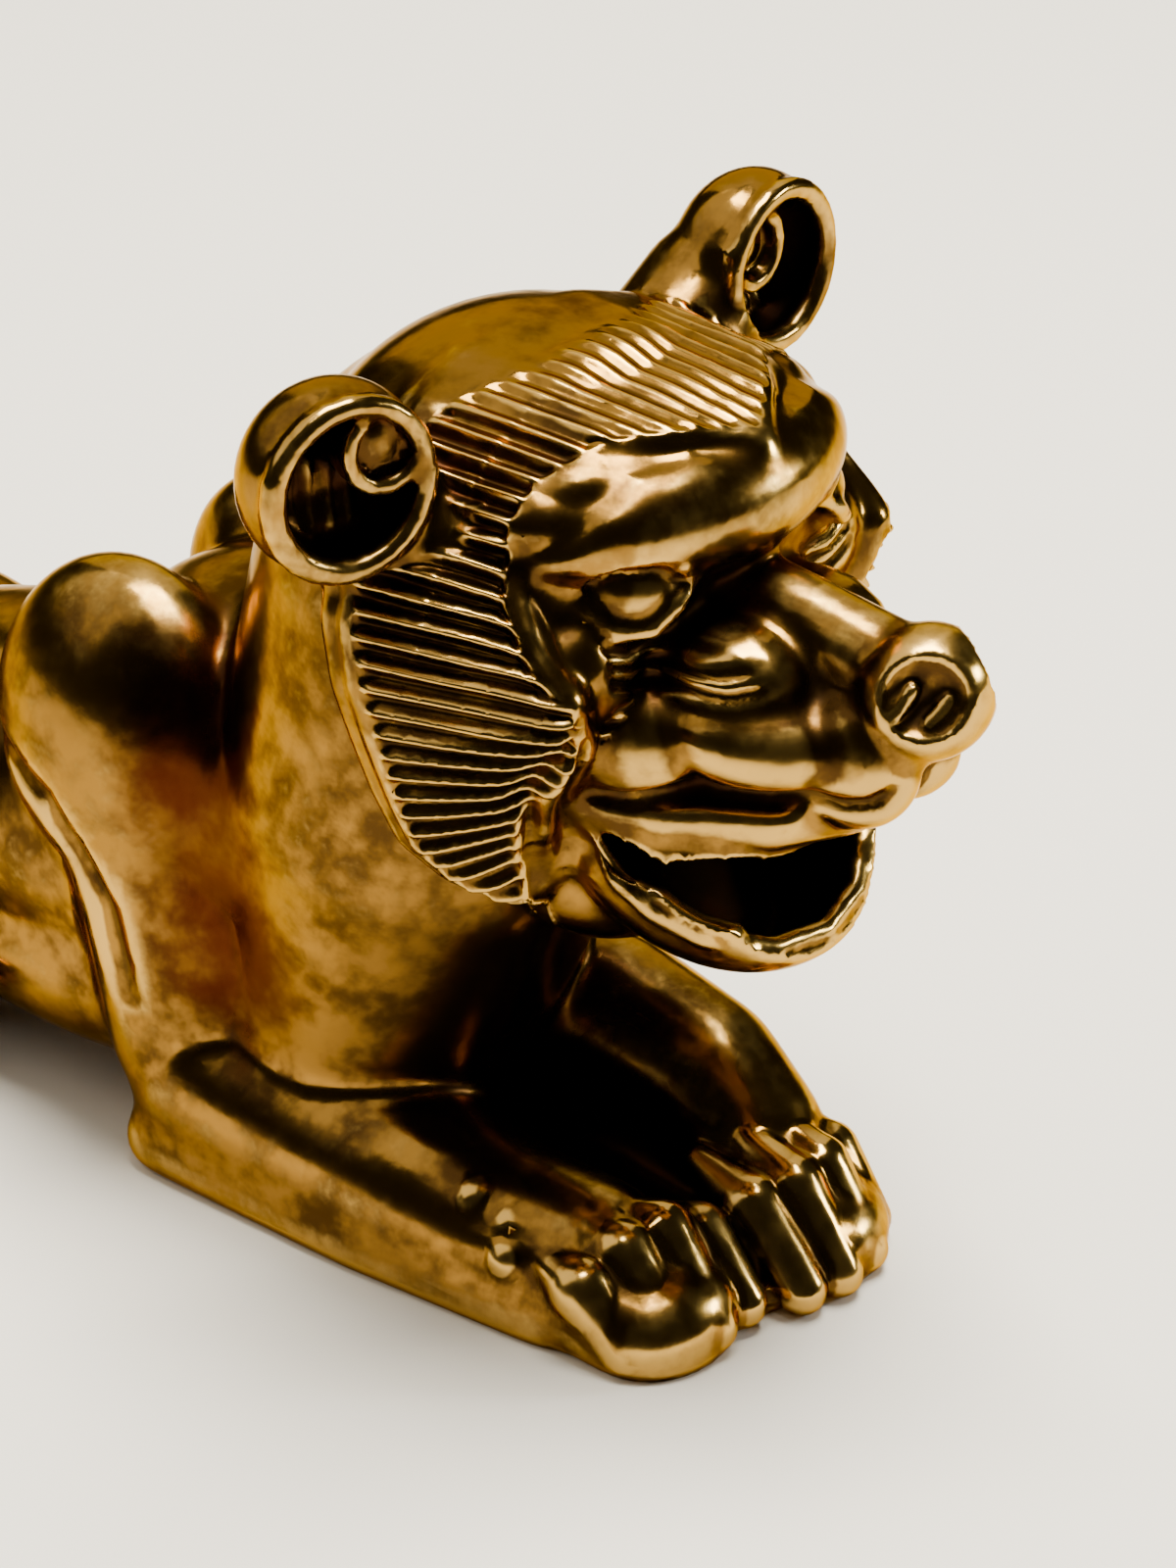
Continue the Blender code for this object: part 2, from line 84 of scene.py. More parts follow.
class Clay:
    def __init__(self):
        self.bm = bmesh.new()

    def add(self, shape, **sizes):
        mass = bmesh.new()
        shape(mass, **sizes)
        mesh = bpy.data.meshes.new("mass")
        mass.to_mesh(mesh)
        mass.free()
        self.bm.from_mesh(mesh)
        bpy.data.meshes.remove(mesh)

    def ball(self, centre, radii, turn=(0, 0, 0), pair=False):
        for side in ((1, -1) if pair else (1,)):
            place = Matrix.Translation((centre[0] * side, centre[1], centre[2]))
            angles = [math.radians(a) for a in (turn[0], turn[1] * side, turn[2] * side)]
            spin = Euler(angles).to_matrix().to_4x4()
            size = Matrix.Diagonal((*radii, 1.0))
            self.add(bmesh.ops.create_icosphere, subdivisions=5, radius=1.0, matrix=place @ spin @ size)

    def limb(self, stations, pair=False):      # stations of x, y, z and radius
        for side in ((1, -1) if pair else (1,)):
            knots = [(Vector((s[0] * side, s[1], s[2])), s[3]) for s in stations]
            for centre, radius in knots:
                self.add(bmesh.ops.create_icosphere, subdivisions=4, radius=radius,
                         matrix=Matrix.Translation(centre))
            for (start, r1), (end, r2) in zip(knots, knots[1:]):
                along = end - start
                spin = along.to_track_quat("Z", "Y").to_matrix().to_4x4()
                place = Matrix.Translation((start + end) / 2)
                self.add(bmesh.ops.create_cone, cap_ends=True, segments=48, radius1=r1, radius2=r2,
                         depth=along.length, matrix=place @ spin)

    def cast(self, name):
        mesh = bpy.data.meshes.new(name)
        self.bm.to_mesh(mesh)
        self.bm.free()
        obj = bpy.data.objects.new(name, mesh)
        bpy.context.scene.collection.objects.link(obj)
        return obj


def bake(obj):
    graph = bpy.context.evaluated_depsgraph_get()
    mesh = bpy.data.meshes.new_from_object(obj.evaluated_get(graph))
    old = obj.data
    obj.modifiers.clear()
    obj.data = mesh
    bpy.data.meshes.remove(old)
    return obj


def discard(obj):
    mesh = obj.data
    bpy.data.objects.remove(obj)
    bpy.data.meshes.remove(mesh)


def fuse(obj, softness):
    voxel = casting["voxel"]
    remesh = obj.modifiers.new("fuse", "REMESH")
    remesh.mode = "VOXEL"
    remesh.voxel_size = voxel
    soften = obj.modifiers.new("soften", "SMOOTH")
    soften.factor = 0.5
    soften.iterations = max(1, round(2.0 * (softness / voxel) ** 2))
    return bake(obj)


def join(target, other):
    bm = bmesh.new()
    bm.from_mesh(target.data)
    bm.from_mesh(other.data)
    bm.to_mesh(target.data)
    bm.free()
    discard(other)


def cut(obj, cutter):
    boolean = obj.modifiers.new("cut", "BOOLEAN")
    boolean.operation = "DIFFERENCE"
    boolean.solver = "EXACT"
    boolean.object = cutter
    bake(obj)
    discard(cutter)


def bodyClay():
    clay = Clay()
    # trunk
    clay.ball((0, 14.5, 7.8), (5.0, 10.5, 5.0))
    clay.ball((0, 14.0, 4.6), (4.8, 9.5, 3.9))
    clay.limb([(0, 3, 12, 5.2), (0, 8.5, 10.6, 5.0)])
    clay.ball((0, 25.5, 6.8), (5.2, 6.8, 5.4))
    # neck and chest
    clay.limb([(0, 5.4, 5.2, 4.5), (0, 3.6, 12, 5.6), (0, 1.6, 18.5, 5.9)])
    # shoulder blades and upper arms
    clay.ball((3.8, 10.8, 12.7), (2.4, 3.9, 4.4), (-10, -10, 0), pair=True)
    clay.ball((0, 8.8, 11.8), (4.6, 5.2, 4.6))
    clay.limb([(3.7, 10.6, 12.5, 2.5), (3.6, 9.8, 7, 2.2), (3.4, 9.6, 3.6, 2.0)], pair=True)
    clay.ball((3.2, 9.4, 7.0), (2.2, 3.2, 4.2), pair=True)
    # right foreleg, which lies flat
    clay.limb([(-3.1, 8.6, 2.6, 2.5), (-2.9, 4.6, 1.9, 2.65), (-2.9, 2.0, 1.6, 2.65), (-3.0, -0.6, 1.3, 2.35),
               (-2.9, -3.5, 1.2, 2.3)])
    clay.limb([(-2.8, 8.6, 0.8, 1.8), (-2.8, -3.2, 0.8, 1.7)])
    clay.ball((-3.1, -5.0, 0.9), (2.4, 2.1, 1.6))
    clay.ball((-3.0, -5.8, 0.7), (2.4, 2.0, 1.6))
    clay.limb([(-4.4, 9.6, 0.8, 1.1), (-4.7, 2.5, 0.6, 1.0), (-4.5, -3.6, 0.6, 1.0)])
    # left foreleg, with its wrist raised
    clay.limb([(3.4, 8.4, 2.6, 2.5), (3.6, 4.6, 3.5, 2.4), (3.6, 0.8, 4.0, 2.25), (3.4, -2.6, 3.5, 2.0),
               (3.1, -4.3, 2.2, 2.0)])
    clay.limb([(2.9, 8.4, 1.2, 1.6), (2.9, 0.8, 1.4, 1.8), (2.9, -3.4, 1.2, 1.6)])
    clay.ball((2.5, -6.0, 1.0), (2.4, 2.2, 1.5))
    clay.ball((2.2, -6.8, 0.7), (2.4, 2.0, 1.6))
    clay.limb([(4.6, 8.9, 0.8, 1.1), (4.9, 2.5, 0.6, 0.9), (4.4, -3.6, 0.6, 0.9)])
    # metal left between the forelegs
    clay.ball((0.5, 1.0, 0.5), (2.9, 6.0, 1.1))
    clay.ball((0, 8.2, 1.2), (3.8, 4.8, 2.0))
    clay.ball((0.2, -5.2, 0.3), (2.4, 2.6, 1.0))
    # haunches, hind feet and tail
    clay.ball((4.4, 25.2, 4.9), (2.9, 6.2, 4.9), pair=True)
    clay.limb([(5.8, 30.0, 1.7, 1.9), (6.2, 25, 1.4, 1.7), (6.0, 20.0, 1.3, 1.7)], pair=True)
    clay.ball((3.6, 29.5, 3.4), (2.6, 2.6, 3.0), pair=True)
    clay.limb([(0, 31.0, 6.0, 1.5), (2.6, 32.2, 3.6, 1.3), (6.2, 31.5, 1.7, 1.2), (8.4, 28.0, 1.2, 1.1),
               (8.9, 23.5, 1.1, 1.1), (8.9, 20.5, 1.3, 1.5)])
    return clay


# The hair is a band round the head, from the collar at its back to the hairline round the face.

hair = {
    # one side, as x, forward and up from the middle of the ear line
    "hairline": [(0, 6.0, 0.15), (1.9, 5.0, 0.45), (3.5, 3.7, 0.35), (4.8, 2.9, -0.35), (5.8, 2.8, -1.4),
                 (6.7, 3.3, -2.7), (7.1, 4.2, -4.0), (7.0, 5.1, -5.0), (6.4, 4.9, -6.4), (5.8, 3.9, -8.0),
                 (4.9, 3.1, -9.8), (4.0, 2.9, -11.2)],
    "collar": [(0, -0.6, 1.2), (2.4, -0.6, 1.0), (4.4, -0.5, 0.3), (6.0, -0.3, -0.8), (7.2, -0.1, -2.2),
               (7.9, 0.0, -3.8), (8.0, 0.3, -5.4), (7.7, 0.6, -7.0), (7.2, 0.8, -8.6), (6.6, 1.0, -10.0),
               (5.6, 1.4, -11.2), (4.6, 2.2, -11.9)],
    "flutePitch": 0.62,
    "fluteDepth": 0.3,
    # where the mesh is finer, forward and up from the ear line and out from the middle of the face
    "finerBack": -0.8,
    "finerFront": 5.8,
    "finerLowest": -12.8,
    "finerInside": 4.8,
}


def hairRing(share):      # a bar of hair from the collar at 0 to the hairline at 1
    thick = 1.1 - 0.35 * share
    ring = []
    for back, front in zip(hair["collar"], hair["hairline"]):
        x, forward, up = (p + (q - p) * share for p, q in zip(back, front))
        drop = up - drafting["faceMiddle"]
        sink = 1 - thick / math.hypot(x, drop)
        ring.append((*onHead(x * sink, forward, drafting["faceMiddle"] + drop * sink), thick))
    return ring


ear = {
    "out": 8.3,       # the middle of the ear's mouth, from the middle of the head
    "forward": 0.7,
    "up": 0.1,
    "turns": {1: 0, -1: 20},      # the right ear faces outwards
    "mouth": 2.0,
}


def onEar(side, out, forward, up):      # from the middle of the ear's mouth; side is 1 for the left ear
    turn = math.radians(ear["turns"][side])
    along, ahead = math.cos(turn), math.sin(turn)
    x, y, z = onHead(ear["out"] + out * along + forward * ahead,
                     ear["forward"] + forward * along - out * ahead, ear["up"] + up)
    return (x * side, y, z)


def facing(side):
    return (0, 0, ear["turns"][side] * side)


def skullClay():
    clay = Clay()
    # the drum of hair round the face
    clay.ball(onHead(0, 1.6, -4.9), (7.2, 3.6, 6.0))
    clay.ball(onHead(0, 2.2, -6.6), (6.8, 2.8, 5.6))
    clay.ball(onHead(0, -0.8, -3.0), (5.8, 4.8, 4.2))
    for i in range(9):
        clay.limb(hairRing(i / 8), pair=True)
    # forehead, brows and cheeks
    clay.ball(onHead(0, 2.8, -4.4), (6.6, 3.1, 4.6))
    clay.ball(onHead(0, 2.7, -1.7), (6.0, 4.5, 2.4))
    clay.ball(onHead(0, 4.9, -1.4), (2.6, 1.9, 1.8))
    clay.ball(onHead(0, 5.2, -2.2), (2.1, 1.6, 1.5))
    clay.ball(onHead(2.4, 4.0, -1.0), (2.8, 2.0, 1.3), (0, 0, 20), pair=True)
    clay.ball(onHead(2.2, 4.5, -1.7), (2.9, 2.1, 1.75), (0, 0, 25), pair=True)
    clay.ball(onHead(2.4, 4.9, -3.3), (1.5, 0.95, 1.2), pair=True)
    clay.ball(onHead(4.5, 4.3, -4.9), (2.0, 1.4, 1.6), pair=True)
    # bridge and ball of the nose
    clay.limb([(*onHead(0, 5.6, -4.3), 1.2), (*onHead(0, 8.0, -4.5), 1.05), (*onHead(0, 9.8, -5.0), 1.2)])
    clay.ball(onHead(0, 11.1, -5.3), (1.75, 1.6, 1.65))
    clay.ball(onHead(0, 9.0, -6.1), (1.5, 2.0, 1.3))
    # pads of the muzzle and the upper lip
    clay.ball(onHead(1.85, 7.4, -6.6), (2.0, 2.5, 1.3), (6, 0, -14), pair=True)
    clay.ball(onHead(3.2, 5.0, -6.9), (1.6, 1.9, 1.6), pair=True)
    clay.ball(onHead(1.5, 6.6, -5.5), (1.9, 2.2, 1.4), pair=True)
    clay.ball(onHead(0.9, 9.7, -7.1), (1.3, 1.75, 1.75), pair=True)
    clay.limb([(*onHead(0.4, 9.3, -8.5), 0.85), (*onHead(1.9, 8.0, -8.75), 0.85),
               (*onHead(3.2, 6.0, -8.75), 0.75), (*onHead(3.9, 4.4, -8.7), 0.5)], pair=True)
    # lower jaw and throat
    clay.ball(onHead(0, 5.0, -10.05), (4.25, 4.75, 3.15), (drafting["jawTilt"], 0, 0))
    clay.ball(onHead(0, 2.6, -11.6), (3.8, 3.0, 2.6))
    clay.ball(onHead(0, 3.5, -8.5), (4.6, 3.2, 3.0))
    # ears
    for side in (1, -1):
        clay.ball(onEar(side, 0, -0.6, 0), (2.3, 1.85, 2.35), facing(side))
    clay.limb([(*onHead(7.2, -0.4, -0.6), 1.8), (*onHead(5.2, -0.5, -2.4), 2.2)], pair=True)
    return clay


def hollowClay():
    clay = Clay()
    # the cup of each ear
    for side in (1, -1):
        clay.ball(onEar(side, 0, 0.45, 0), (1.85, 1.95, 1.85), facing(side))
    # eye sockets
    clay.ball(onHead(3.95, 5.6, -2.85), (1.25, 1.0, 0.8), (0, 0, drafting["eyeTurn"]), pair=True)
    # nostrils
    clay.ball(onHead(1.65, 12.0, -4.6), (1.4, 1.15, 1.25), (0, 0, 45), pair=True)
    # bowl of the jaw and the gape above it
    clay.ball(onHead(0, 4.7, -10.45), (3.85, 4.35, 2.15), (drafting["jawTilt"], 0, 0))
    clay.ball(onHead(0, 9.9, -11.4), (5.0, 2.6, 1.8), (18, 0, 0))
    clay.ball(onHead(0, 7.6, -10.5), (4.7, 2.6, 1.05), (20, 0, 0))
    clay.ball(onHead(0, 5.6, -9.85), (5.2, 2.2, 0.6), (20, 0, 0))
    return clay


toes = {
    # heel, knuckle and tip of each front toe, from the lion's right to its left
    "front": [((-4.4, -3.0, 2.2), (-4.7, -4.6, 1.9), (-4.7, -6.0, 0.6)),
              ((-3.4, -3.2, 2.6), (-3.4, -4.9, 2.4), (-3.9, -6.8, 0.7)),
              ((-2.4, -3.4, 2.6), (-2.2, -5.2, 2.5), (-2.7, -7.2, 0.7)),
              ((-1.5, -3.8, 2.1), (-1.1, -5.6, 2.0), (-1.4, -7.2, 0.7)),
              ((0.9, -4.2, 2.6), (0.5, -6.1, 2.2), (0.1, -8.0, 0.6)),
              ((2.0, -4.4, 3.2), (1.6, -6.6, 2.4), (1.3, -8.3, 0.6)),
              ((3.0, -4.4, 3.2), (2.8, -6.6, 2.4), (2.6, -8.2, 0.6)),
              ((4.0, -4.2, 2.6), (4.0, -6.1, 2.0), (3.8, -7.5, 0.6))],
    "radii": (0.4, 0.85, 0.66),
}


def featureClay():
    clay = Clay()
    # tongue
    clay.ball(onHead(0, 4.6, -12.5), (1.6, 2.9, 0.45), (drafting["jawTilt"], 0, 0))
    # the lower edge of the upper lip, and the rim of the jaw
    clay.limb([(*onHead(0.2, 9.4, -9.2), 0.28), (*onHead(1.9, 8.0, -9.45), 0.28),
               (*onHead(3.2, 6.0, -9.4), 0.26), (*onHead(4.0, 4.5, -9.15), 0.2)], pair=True)
    clay.limb([(*onHead(4.1, 4.4, -9.5), 0.2), (*onHead(4.05, 5.2, -10.4), 0.28),
               (*onHead(3.85, 6.2, -11.05), 0.3), (*onHead(3.3, 7.2, -11.65), 0.3),
               (*onHead(1.8, 8.1, -12.4), 0.3), (*onHead(0, 8.4, -12.65), 0.3)], pair=True)
    # eyes, upper lids and lower lids
    clay.ball(onHead(3.35, 5.0, -3.05), (1.2, 1.2, 1.15), pair=True)
    clay.limb([(*onHead(4.75, 4.3, -2.55), 0.16), (*onHead(4.4, 4.6, -2.15), 0.26),
               (*onHead(4.05, 5.1, -1.9), 0.3), (*onHead(3.55, 5.75, -1.95), 0.3),
               (*onHead(2.95, 6.25, -2.35), 0.24), (*onHead(2.5, 6.3, -2.75), 0.16)], pair=True)
    clay.limb([(*onHead(4.75, 4.3, -2.7), 0.15), (*onHead(4.7, 4.8, -3.27), 0.24),
               (*onHead(4.38, 5.43, -3.72), 0.27), (*onHead(3.85, 6.0, -3.66), 0.27),
               (*onHead(3.3, 6.3, -3.2), 0.22), (*onHead(2.7, 6.3, -2.85), 0.15)], pair=True)
    # ridges in the nostrils
    clay.limb([(*onHead(1.5, 11.05, -5.4), 0.2), (*onHead(1.15, 11.15, -5.1), 0.22),
               (*onHead(1.0, 11.3, -4.8), 0.18)], pair=True)
    clay.limb([(*onHead(0.9, 11.75, -5.55), 0.2), (*onHead(0.65, 11.9, -5.3), 0.22),
               (*onHead(0.5, 12.0, -5.05), 0.18)], pair=True)
    # rolled rims of the ears, thickest on the outer side, a curled fold in each, and hairs in the cup
    for side in (1, -1):
        rim = []
        for i in range(25):
            angle = math.radians(-180 + 15 * i)
            thick = 0.34 - 0.1 * abs(i - 10) / 14
            out, up = ear["mouth"] * math.cos(angle), ear["mouth"] * math.sin(angle)
            rim.append((*onEar(side, out, 0.3, up), thick))
        clay.limb(rim)
        for depth, reach in ((0.2, 0.95), (-0.2, 0.92), (-0.6, 0.85)):
            fold = []
            for i in range(9):
                angle = math.radians(-190 + 250 * i / 8)
                out, up = reach * math.cos(angle) - 0.95, reach * math.sin(angle) + 0.75
                fold.append((*onEar(side, out, depth, up), 0.22))
            clay.limb(fold)
        clay.ball(onEar(side, -0.95, -0.35, 0.75), (0.8, 0.45, 0.8), facing(side))
        for i in range(4):
            out = -0.5 + 0.5 * i
            clay.limb([(*onEar(side, out, -0.85, -1.3), 0.22), (*onEar(side, out - 0.1, -1.15, -0.5), 0.2),
                       (*onEar(side, out - 0.15, -1.15, 0.3), 0.16)])
    # front toes, and three knobs on the right wrist
    for stations in toes["front"]:
        clay.limb([(*place, radius) for place, radius in zip(stations, toes["radii"])])
    clay.ball((-4.0, -0.9, 2.75), (0.8, 0.75, 0.7))
    clay.ball((-4.1, -2.1, 2.5), (0.75, 0.7, 0.65))
    clay.ball((-4.7, -2.4, 1.9), (0.65, 0.65, 0.65))
    # hind toes
    for i in range(3):
        clay.ball((5.0 + 1.1 * i, 18.6, 0.9), (0.6, 1.2, 1.0), pair=True)
    return clay


# Readings of a mesh's points and edges.

def readPoints(mesh):
    count = len(mesh.vertices)
    at = np.empty(count * 3)
    mesh.vertices.foreach_get("co", at)
    normal = np.empty(count * 3)
    mesh.vertex_normals.foreach_get("vector", normal)
    return at.reshape(-1, 3), normal.reshape(-1, 3)


def readLinks(mesh):      # the two ends of each edge, and how many edges meet at each point
    count = len(mesh.vertices)
    ends = np.empty(len(mesh.edges) * 2, np.int32)
    mesh.edges.foreach_get("vertices", ends)
    a, b = ends.reshape(-1, 2).T
    return a, b, np.bincount(a, minlength=count) + np.bincount(b, minlength=count)


def evened(values, a, b, links):      # each value drawn towards the mean of its neighbours
    count = len(values)
    total = np.bincount(a, weights=values[b], minlength=count)
    total += np.bincount(b, weights=values[a], minlength=count)
    return 0.4 * values + 0.6 * total / links


def keepReading(mesh, name, values):
    layer = mesh.attributes.new(name, "FLOAT", "POINT")
    layer.data.foreach_set("value", values)


# Carving moves points along their normals.

def lineDistance(u, v, path):      # the distance from a bent line, and how far along it, from 0 to 1
    path = np.array(path, float)
    lengths = np.hypot(*(path[1:] - path[:-1]).T)
    best = np.full(u.shape, np.inf)
    along = np.zeros(u.shape)
    start = 0.0
    for a, b, length in zip(path[:-1], path[1:], lengths):
        du, dv = (b - a) / length
        t = np.clip((u - a[0]) * du + (v - a[1]) * dv, 0, length)
        away = np.hypot(u - a[0] - t * du, v - a[1] - t * dv)
        nearer = away < best
        best = np.where(nearer, away, best)
        along = np.where(nearer, (start + t) / lengths.sum(), along)
        start += length
    return best, along


def ramp(x, low, high):
    t = np.clip((x - low) / (high - low), 0, 1)
    return t * t * (3 - 2 * t)


class Graver:
    def __init__(self, mesh):
        self.mesh = mesh
        self.at, self.normal = readPoints(mesh)
        self.side = np.abs(self.at[:, 0])
        self.forward = -self.at[:, 1]
        self.up = self.at[:, 2] - drafting["earLine"]
        self.rise = np.zeros(len(self.at))
        self.fluted = np.zeros(len(self.at))

    def stroke(self, u, v, path, width, height, mask):      # a ridge, or a groove for a height below 0
        away, along = lineDistance(u, v, path)
        taper = np.clip(6 * np.minimum(along, 1 - along), 0.15, 1)
        self.rise += height * np.exp(-(away / width) ** 2) * taper * mask

    def faceStroke(self, path, width, height, mask):
        self.stroke(self.side, self.up, path, width, height, mask)

    def flankStroke(self, path, width, height, mask):
        self.stroke(self.at[:, 1], self.at[:, 2], path, width, height, mask)

    def flutes(self):
        middle = drafting["faceMiddle"]
        collar, hairline = hair["collar"], hair["hairline"]
        drop = self.up - middle
        turn = np.arctan2(self.side, drop)
        reach = np.hypot(self.side, drop)
        collarTurns = [math.atan2(x, up - middle) for x, forward, up in collar]
        hairTurns = [math.atan2(x, up - middle) for x, forward, up in hairline]
        back = np.interp(turn, collarTurns, [p[1] for p in collar])
        front = np.interp(turn, hairTurns, [p[1] for p in hairline])
        share = (self.forward - back) / (front - back)
        steps = [math.hypot(b[0] - a[0], b[2] - a[2]) for a, b in zip(collar, collar[1:])]
        run = np.interp(turn, collarTurns, np.concatenate([[0], np.cumsum(steps)]))
        wave = (0.5 + 0.5 * np.cos(2 * np.pi * run / hair["flutePitch"])) ** 0.75
        # faint strands on the crown, which start a quarter of the way forward, and full flutes at the sides
        aside = ramp(turn, 0.35, 0.95)
        start = 0.06 + 0.2 * (1 - aside)
        end = 0.99 + 0.13 * aside - 0.2 * ramp(turn, 1.9, 2.2)
        onBand = ramp(share, start, start + 0.1) * (1 - ramp(share, end, end + 0.07))
        onBand *= turn < max(collarTurns)
        # clear of the ears
        toEar = np.hypot((self.side - ear["out"]) / 2.75, (self.up - ear["up"]) / 2.6)
        offEar = np.maximum(ramp(toEar, 0.98, 1.1), ramp(self.forward, 2.1, 2.5))
        onBand *= offEar
        # only where the surface faces away from the middle of the head
        outward = self.normal[:, 0] * np.sign(self.at[:, 0]) * np.sin(turn) + self.normal[:, 2] * np.cos(turn)
        onHair = ramp(outward, 0.2, 0.5) * (reach > 3.6) * (self.up > -13)
        self.rise -= hair["fluteDepth"] * (0.35 + 0.65 * aside) * (wave - 0.25) * onBand * onHair
        # the step down to the neck, and the rim along the hairline
        beside = aside * onHair * offEar
        self.rise -= 0.12 * np.exp(-((share + 0.05) / 0.06) ** 2) * beside
        self.rise += 0.12 * np.exp(-((share - 0.97) / 0.06) ** 2) * beside * ramp(turn, 1.9, 2.2)
        self.fluted = onBand * onHair

    def finish(self, obj):
        group = obj.vertex_groups.new(name="plain")
        onFace = (self.forward > drafting["faceBack"]) & (self.up > drafting["chin"])
        detailed = (self.fluted > 0.5) | onFace
        group.add(np.flatnonzero(~detailed).tolist(), 1.0, "REPLACE")
        self.at += self.normal * self.rise[:, None]
        self.mesh.vertices.foreach_set("co", self.at.ravel())
        self.mesh.update()


def carve(lion):
    graver = Graver(lion.data)
    graver.flutes()
    onFace = graver.forward > drafting["faceBack"]
    # the groove where the hair meets the face
    edge = [(x, up - 0.35) for x, forward, up in hair["hairline"][:8]]
    graver.faceStroke(edge, 0.28, -0.22, onFace)
    # double fold of the cheek
    graver.faceStroke([(6.3, -5.2), (6.4, -5.9), (6.35, -6.9), (6.1, -7.8), (5.5, -8.8), (5.0, -9.7)],
                      0.2, -0.28, onFace)
    graver.faceStroke([(6.4, -5.8), (6.0, -7.1), (5.3, -8.7), (4.6, -9.85)], 0.2, 0.14, onFace)
    graver.faceStroke([(6.1, -5.6), (5.7, -6.9), (4.85, -8.6), (4.25, -9.8), (3.95, -10.8)],
                      0.2, -0.24, onFace)
    # three bags below each eye
    for drop in (0, 0.4, 0.8):
        bag = [(4.95, -3.8 - drop), (4.7, -4.1 - drop), (4.0, -4.4 - drop), (3.1, -4.45 - drop),
               (2.4, -4.2 - drop)]
        graver.faceStroke(bag, 0.14, -0.16, onFace & (graver.side < 5.2))
    # upper edge of the lip
    lip = [(4.5, -8.5), (4.0, -8.1), (3.2, -7.95), (2.3, -8.0), (1.7, -7.6), (1.4, -6.9)]
    graver.faceStroke(lip, 0.28, -0.3, onFace)
    # the parting below the nose
    atNose = graver.forward > 9.0
    graver.faceStroke([(0.0, -6.8), (0.0, -9.0)], 0.22, -0.22, atNose)
    # crease behind the shoulder
    onFlank = graver.side > 3.5
    graver.flankStroke([(14.5, 12.2), (11.6, 11.0), (9.9, 8.2), (9.4, 5.0)], 0.4, -0.35, onFlank)
    graver.finish(lion)


def refine(lion):      # a finer mesh where the hair is fluted
    bm = bmesh.new()
    bm.from_mesh(lion.data)
    chosen = set()
    for vert in bm.verts:
        forward, up = -vert.co.y, vert.co.z - drafting["earLine"]
        reach = math.hypot(vert.co.x, up - drafting["faceMiddle"])
        onBand = hair["finerBack"] < forward < hair["finerFront"]
        if onBand and up > hair["finerLowest"] and reach > hair["finerInside"]:
            chosen.add(vert)
    edges = [e for e in bm.edges if e.verts[0] in chosen and e.verts[1] in chosen]
    bmesh.ops.subdivide_edges(bm, edges=edges, cuts=1, use_grid_fill=True)
    bm.to_mesh(lion.data)
    bm.free()


def stand(lion):      # cut flat where it stands
    bm = bmesh.new()
    bm.from_mesh(lion.data)
    everything = bm.verts[:] + bm.edges[:] + bm.faces[:]
    found = bmesh.ops.bisect_plane(bm, geom=everything, plane_co=(0, 0, 0), plane_no=(0, 0, -1),
                                   clear_outer=True)
    edges = [e for e in found["geom_cut"] if isinstance(e, bmesh.types.BMEdge)]
    bmesh.ops.holes_fill(bm, edges=edges)
    bmesh.ops.triangulate(bm, faces=[f for f in bm.faces if len(f.verts) > 4])
    bm.to_mesh(lion.data)
    bm.free()


# The metal is dirty in its fine grooves and bright where it is raised, partly polished metal and partly a
# painted highlight; where the lion keeps the light off itself, shade is painted dark and red-brown.

patinaAndShade = {
    "fine": 8,        # rounds of smoothing that the surface is compared with
    "broad": 30,
    "fineDepth": 0.05,
    "broadDepth": 0.2,
    "rays": 26,
    "sight": 7.0,     # how far away something still shelters a point
    "lift": 0.05,     # how far above the surface the rays start
    "grazing": 0.15,  # rays flatter than this are left out
}


def readRecesses(lion):
    mesh = lion.data
    at, normal = readPoints(mesh)
    a, b, links = readLinks(mesh)
    smooth = at
    found = {}
    for step in range(patinaAndShade["broad"]):
        smooth = np.stack([evened(smooth[:, axis], a, b, links) for axis in range(3)], axis=1)
        if step + 1 in (patinaAndShade["fine"], patinaAndShade["broad"]):
            found[step + 1] = ((smooth - at) * normal).sum(axis=1)
    fine = found[patinaAndShade["fine"]] / patinaAndShade["fineDepth"]
    broad = found[patinaAndShade["broad"]] / patinaAndShade["broadDepth"]
    for name, values in (("fineRecess", fine), ("broadRecess", broad)):
        keepReading(mesh, name, np.clip(values * 0.5 + 0.5, 0, 1))


def readShelter(lion):      # the share of the light round each point that the lion itself keeps off
    mesh = lion.data
    at, normal = readPoints(mesh)
    rays = patinaAndShade["rays"]
    heights = 1 - (2 * np.arange(rays) + 1) / rays
    turns = np.arange(rays) * math.pi * (3 - math.sqrt(5))
    flat = np.sqrt(1 - heights ** 2)
    ways = np.stack([flat * np.cos(turns), flat * np.sin(turns), heights], axis=1)
    towards = normal @ ways.T
    wayVectors = [Vector(way) for way in ways]
    tree = BVHTree.FromPolygons([v.co for v in mesh.vertices], [tuple(f.vertices) for f in mesh.polygons])
    starts = at + normal * patinaAndShade["lift"]
    shadeShare = np.zeros(len(at))
    for i in range(len(at)):
        start = Vector(starts[i])
        whole = 0.0
        for k in np.flatnonzero(towards[i] > patinaAndShade["grazing"]).tolist():
            whole += towards[i, k]
            if tree.ray_cast(start, wayVectors[k], patinaAndShade["sight"])[0] is not None:
                shadeShare[i] += towards[i, k]
        shadeShare[i] /= whole
    a, b, links = readLinks(mesh)
    for step in range(3):
        shadeShare = evened(shadeShare, a, b, links)
    keepReading(mesh, "shelter", shadeShare)


neckReflection = {
    # places on each side where the neck meets the shoulder, along which a dark red reflection is painted
    "line": [(4.7, 7.6, 14.0), (4.8, 7.0, 10.5), (4.5, 6.3, 7.0)],
    "reach": 2.8,
}


